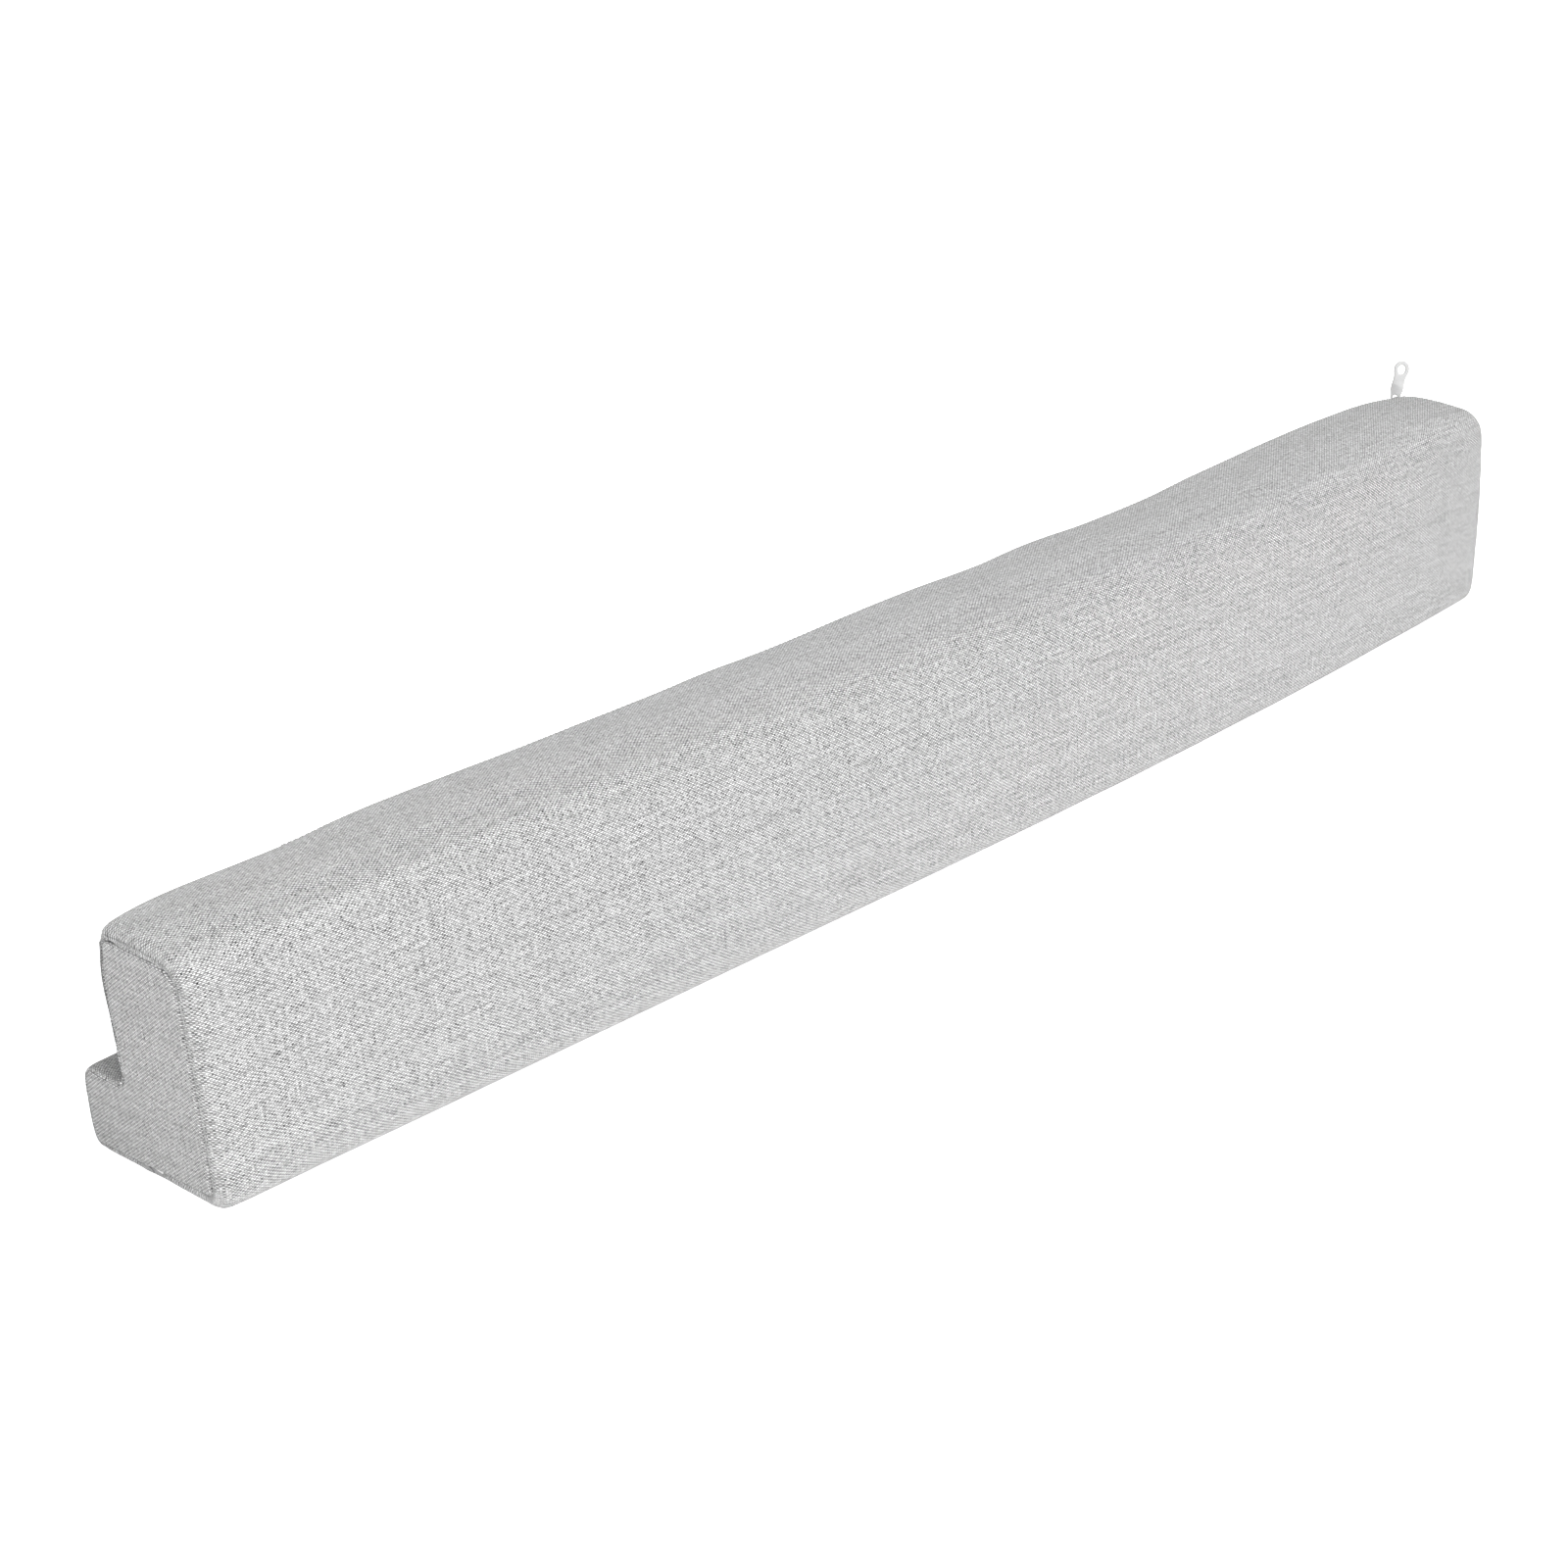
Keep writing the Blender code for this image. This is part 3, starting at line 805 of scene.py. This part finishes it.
def build_end_cloth(node, name):
    """One end's panel, a little swollen, with its grain as it was cut."""
    builder = copy_of(node)
    clean_ends(builder, PANEL_SUPPORT)
    piece = add_piece(name, builder, cover_cloth, "cover_cloth")
    subdivide(piece, 2)
    mesh = piece.data
    points = positions(mesh)
    lift = PANEL_SWELL + PANEL_RIPPLE * smooth_noise(points, RIPPLE_LENGTH)
    mesh.vertices.foreach_set("co", (points + normals(mesh) * lift[:, None]).ravel())
    write_grain(mesh, positions(mesh)[corner_points(mesh)][:, 1:])
    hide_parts(node)
    return piece


for side_name in ("near", "far"):
    end_cloth = build_end_cloth("end_panel_" + side_name, "end_cloth_" + side_name)
    low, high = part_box("end_panel_" + side_name)
    width, height = high.y - low.y, high.z - low.z
    notch = (high.y - arm_back[0]) * (height - FOOT_TOP)
    width * height - notch
    print("end panel", side_name, round(width, 3), "x", round(height, 3), "m")

# %% [markdown]
# The zip lies in a seat on the top back corner, turned towards the back. Everything on it is
# placed in the corner's own terms: how far along the bar, at what angle from the zip's middle and
# how high over the corner's full roundness. Rays that are shot at the cover beside the seat say
# where that roundness is, so hems, tape, coil and stitches all follow the gathers in the edge.

# %% The zip's line
CORNER_LEVEL = 0.136
TOP_PROBE = 0.014
PROBE = 0.03
SEAT_SIDE = math.radians(20)
FLANK = math.radians(32)
LINE_STEP = 0.003
HEM_MARGIN = 0.016
SLIDER_GAP = 0.001

cover_skin = BVHTree.FromObject(cover, bpy.context.evaluated_depsgraph_get())
chain_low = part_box("zip_chain")[0]
slider_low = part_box("zip_slider")[0]
line_x = np.arange(bar_low.x + HEM_MARGIN, slider_low.x - SLIDER_GAP, LINE_STEP)


def corner_axis(x):
    """The middle of the corner's roundness at one place along the bar."""
    start = Vector((x, OUTSIDE, CORNER_LEVEL))
    back_y = cover_skin.ray_cast(start, Vector((0, -1, 0)))[0].y
    start = Vector((x, back_y - TOP_PROBE, OUTSIDE))
    top_z = cover_skin.ray_cast(start, Vector((0, 0, -1)))[0].z
    return Vector((x, back_y - CORNER_RADIUS, top_z - CORNER_RADIUS))


def roundness(axis, angle):
    """How far the cover is from the corner's axis at an angle from the zip's middle."""
    turned = ZIP_ANGLE + angle
    towards = Vector((0, math.cos(turned), math.sin(turned)))
    return (cover_skin.ray_cast(axis + towards * PROBE, -towards)[0] - axis).length


axes = [corner_axis(x) for x in line_x]
line_axis = np.array(axes)
ANGLES = np.array([-FLANK, -SEAT_SIDE, SEAT_SIDE, FLANK])
line_round = np.array([[roundness(axis, angle) for angle in ANGLES] for axis in axes])


def at_corner(x, angle, height):
    """Points from arrays of places along the bar, angles and heights over the corner."""
    x, angle, height = np.broadcast_arrays(x, angle, height)
    y = np.interp(x, line_x, line_axis[:, 1])
    z = np.interp(x, line_x, line_axis[:, 2])
    sides = [np.interp(x, line_x, line_round[:, column]) for column in range(len(ANGLES))]
    middle = sides[1] + (sides[2] - sides[1]) * (angle + SEAT_SIDE) / (2 * SEAT_SIDE)
    step = (np.abs(angle) - SEAT_SIDE) / (FLANK - SEAT_SIDE)
    below = sides[1] + (sides[0] - sides[1]) * step
    above = sides[2] + (sides[3] - sides[2]) * step
    radius = np.where(angle < -SEAT_SIDE, below, np.where(angle > SEAT_SIDE, above, middle))
    radius = radius + height
    turned = ZIP_ANGLE + angle
    return np.stack([x, y + radius * np.cos(turned), z + radius * np.sin(turned)], axis=-1)


print("zip line:", len(line_x), "places")

# %% [markdown]
# The cover's two edges are folded into narrow hems that stand a little proud over the zip's tape.
# They leave the coil just visible, and past the zip's end they meet in a closed seam. Sewing makes
# them wavy. A hem is a grid of quads laid on rows of points, and a short table of angles and
# heights gives its section.

# %% Hems along the zip
HEM_SECTION = (
    {"angle": 32.0, "height": -0.25},
    {"angle": 29.0, "height": 0.02},
    {"angle": 25.5, "height": 0.26},
    {"angle": 21.0, "height": 0.50},
    {"angle": 17.0, "height": 0.62},
    {"angle": 13.0, "height": 0.50},
    {"angle": 10.6, "height": 0.16},
    {"angle": 9.6, "height": -0.40},
    {"angle": 10.4, "height": -1.15},
)
HEM_CLOSE = math.radians(9.2)
HEM_WAVE = math.radians(1.3)
HEM_WAVE_LENGTH = 0.021
HEM_SWELL = 0.4
HEM_FADE = 0.010
ZIP_FADE = 0.016
CLOSED_WAVE = 0.3
CLOSED_HEIGHT = 0.35
MILLIMETRE = 0.001
TUCKED_UNDER = -0.25 * MILLIMETRE


def lay_points(builder, points):
    """Move the builder's points, in their own order, to these places."""
    for vert, point in zip(builder.verts, points.reshape(-1, 3)):
        vert.co = point


def strip_builder(rows):
    """A grid whose rows lie on these rows of points."""
    builder = bmesh.new()
    along, across = rows.shape[0] - 1, rows.shape[1] - 1
    bmesh.ops.create_grid(builder, x_segments=across, y_segments=along, size=1)
    lay_points(builder, rows)
    return builder


def lay_strip_grain(piece, rows, across):
    """The grain of a strip: the distances along the bar, and across the strip."""
    flat = np.stack([rows[:, :, 0], np.broadcast_to(across, rows.shape[:2])], axis=2)
    write_grain(piece.data, flat.reshape(-1, 2)[corner_points(piece.data)])


def section_of(table):
    """A strip's section as two arrays: angles, and heights in metres."""
    angle = np.radians([row["angle"] for row in table])
    return angle, np.array([row["height"] for row in table]) * MILLIMETRE


def soft_wave(x, length, seed):
    """A wave along the bar, without a fixed rhythm."""
    return np.array([noise.noise(Vector((place / length, seed, 0))) for place in x])


def zip_share(x):
    """1 beside the zip and 0 past its end."""
    return np.clip((x - chain_low.x + ZIP_FADE) / ZIP_FADE, 0, 1)


def build_hem(name, side, seed):
    """One folded hem: side 1 is the top's, and side -1 the back's."""
    angle, height = section_of(HEM_SECTION)
    beside = zip_share(line_x)[:, None]
    inner = np.clip((angle[0] - angle) / (angle[0] - angle[-2]), 0, 1)[None, :]
    wave = HEM_WAVE * soft_wave(line_x, HEM_WAVE_LENGTH, seed)[:, None]
    wave = wave * (CLOSED_WAVE + (1 - CLOSED_WAVE) * beside)
    angles = angle[None, :] + inner * (wave - HEM_CLOSE * (1 - beside))
    ends = np.minimum(line_x - line_x[0], line_x[-1] - line_x) / HEM_FADE
    ends = np.clip(ends, 0, 1)[:, None]
    swell = 1 + HEM_SWELL * soft_wave(line_x, HEM_WAVE_LENGTH / 2, seed + 5)[:, None]
    swell = swell * (CLOSED_HEIGHT + (1 - CLOSED_HEIGHT) * beside)
    proud = np.where(height > 0, height * swell, height)
    lifted = proud * ends + (1 - ends) * np.minimum(height, TUCKED_UNDER)
    rows = at_corner(line_x[:, None], side * angles, lifted)
    across = side * angles * CORNER_RADIUS
    if side > 0:
        rows, across = rows[:, ::-1], across[:, ::-1]
    piece = add_piece(name, strip_builder(rows), cover_cloth, "cover_cloth")
    lay_strip_grain(piece, rows, across)
    round_off(piece, 1)
    return piece


hem_top = build_hem("hem_top", 1, 2.3)
hem_back = build_hem("hem_back", -1, 8.9)
print("hems:", len(hem_top.data.polygons) + len(hem_back.data.polygons), "faces")

# %% [markdown]
# Between the hems lies the zip itself. Its ribbed tape is another strip, a little lower than the
# hems, with a shallow bed along its middle for the coil.

# %% Tape
TAPE_SECTION = (
    {"angle": -16.5, "height": -1.35},
    {"angle": -9.0, "height": -1.10},
    {"angle": -5.0, "height": -1.02},
    {"angle": 0.0, "height": -1.25},
    {"angle": 5.0, "height": -1.02},
    {"angle": 9.0, "height": -1.10},
    {"angle": 16.5, "height": -1.35},
)

tape_x = line_x[line_x > chain_low.x - LINE_STEP]
tape_angle, tape_height = section_of(TAPE_SECTION)
tape_rows = at_corner(tape_x[:, None], tape_angle[None, :], tape_height[None, :])[:, ::-1]
tape = add_piece("zip_tape", strip_builder(tape_rows), tape_cloth, "zip_tape")
lay_strip_grain(tape, tape_rows, tape_angle[::-1] * CORNER_RADIUS)
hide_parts("zip_chain")
print("tape:", len(tape.data.polygons), "faces")

# %% [markdown]
# The coil is a row of small loops that reach over from either side in turn, and a seam is a row of
# stitches. Both are rods with rounded ends. One capsule is shaped from a cylinder that is cut
# across into rings, and numpy lays a copy of it along every loop and every stitch, stretching only
# its middle. Spinning a profile would give the same form, but not the faces in the same order in
# every run.

# %% A capsule to copy
CAPSULE_SIDES = 6
CAPSULE_LENGTH = 6.0
CAPSULE_PROFILE = (
    {"width": 0.45, "inside": 0.05},
    {"width": 0.9, "inside": 0.5},
    {"width": 1.0, "inside": 1.5},
)
CAPSULE_UP = np.array([0.0, ZIP_TOWARDS[0], ZIP_TOWARDS[1]])


def build_capsule():
    """A capsule that stands on the origin, with a radius of one and rounded ends."""
    lower = [(ring["width"], ring["inside"]) for ring in CAPSULE_PROFILE]
    rings = lower + [(width, CAPSULE_LENGTH - inside) for width, inside in reversed(lower)]
    steps = len(rings) - 1
    builder = bmesh.new()
    bmesh.ops.create_cone(builder, cap_ends=True, segments=CAPSULE_SIDES, radius1=1, radius2=1,
                          depth=steps)
    upright = [edge for edge in builder.edges if edge.verts[0].co.z != edge.verts[1].co.z]
    bmesh.ops.subdivide_edges(builder, edges=upright, cuts=steps - 1)
    for vert in builder.verts:
        width, place = rings[round(vert.co.z + steps / 2)]
        vert.co = (vert.co.x * width, vert.co.y * width, place)
    mesh = bpy.data.meshes.new("capsule")
    builder.to_mesh(mesh)
    builder.free()
    return mesh


def capsule_piece(name, starts, ends, radius, finish, slot):
    """Copies of the capsule, one from each start to its end, as a single mesh."""
    along = ends - starts
    along = along / np.linalg.norm(along, axis=1, keepdims=True)
    aside = np.cross(along, CAPSULE_UP)
    aside /= np.linalg.norm(aside, axis=1, keepdims=True)
    third = np.cross(along, aside)
    x, y, z = positions(capsule).T[:, :, None]
    upper = z > CAPSULE_LENGTH / 2
    base = np.where(upper, ends[:, None], starts[:, None])
    step = y * aside[:, None] - x * third[:, None] + (z - CAPSULE_LENGTH * upper) * along[:, None]
    builder = bmesh.new()
    for _ in starts:
        builder.from_mesh(capsule)
    lay_points(builder, base + radius * step)
    return add_piece(name, builder, finish, slot)


capsule = build_capsule()
print("capsule:", len(capsule.polygons), "faces")

# %% [markdown]
# The loops lie close together across the middle of the tape. The stitches run along both hems,
# from a little before the zip's end to the slider.

# %% Coil and stitches
LOOP_PITCH = 0.00068
LOOP_RADIUS = 0.00031
LOOP_REACH = 0.00130
LOOP_OVERLAP = 0.00050
LOOP_HEIGHT = -0.00068
STITCH_LEAD = 0.010
STITCH_PITCH = 0.0038
STITCH_LENGTH = 0.0028
STITCH_RADIUS = 0.00024
STITCH_ANGLE = math.radians(24.5)
STITCH_HEIGHT = 0.00036

loop_x = np.arange(chain_low.x, line_x[-1], LOOP_PITCH)
loop_side = np.where(np.arange(len(loop_x)) % 2 == 0, 1, -1)
loop_from = at_corner(loop_x, loop_side * LOOP_REACH / CORNER_RADIUS, LOOP_HEIGHT)
loop_to = at_corner(loop_x, -loop_side * LOOP_OVERLAP / CORNER_RADIUS, LOOP_HEIGHT)
capsule_piece("coil", loop_from, loop_to, LOOP_RADIUS, coil_nylon, "zip_tape")

stitch_x = np.arange(chain_low.x - STITCH_LEAD, line_x[-1] - HEM_FADE, STITCH_PITCH)
for name, side in (("stitches_top", 1), ("stitches_back", -1)):
    stitch_from = at_corner(stitch_x, side * STITCH_ANGLE, STITCH_HEIGHT)
    stitch_to = at_corner(stitch_x + STITCH_LENGTH, side * STITCH_ANGLE, STITCH_HEIGHT)
    capsule_piece(name, stitch_from, stitch_to, STITCH_RADIUS, thread, "cover_cloth")
bpy.data.meshes.remove(capsule)
print("coil:", len(loop_x), "loops; stitches:", 2 * len(stitch_x))

# %% [markdown]
# The slider and the pull are small moulded pieces. They are copied from the construction model
# and their sharp edges are rounded, because real plastic has no knife edges.

# %% Slider and pull
SLIDER_ROUND = 0.0002
PULL_ROUND = 0.0004
SHARP_ANGLE = math.radians(40)


def build_moulded(node, name, radius):
    """A plastic piece with its sharp edges rounded."""
    piece = add_piece(name, copy_of(node), white_plastic, "zip_white")
    soft = piece.modifiers.new("soft_edges", "BEVEL")
    soft.width = radius
    soft.segments = 2
    soft.limit_method = "ANGLE"
    soft.angle_limit = SHARP_ANGLE
    apply_modifiers(piece)
    piece.data.shade_smooth()
    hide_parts(node)
    return piece


slider = build_moulded("zip_slider", "slider", SLIDER_ROUND)
pull = build_moulded("zip_pull", "pull", PULL_ROUND)
print("slider and pull:", len(slider.data.polygons), len(pull.data.polygons), "faces")

# %% Sizes and finish
look_low, look_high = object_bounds()
({
    "cad": [list(cad_low), list(cad_high)],
    "visual": [list(look_low), list(look_high)],
})
print("dressed bar:", [round(side, 4) for side in look_high - look_low])
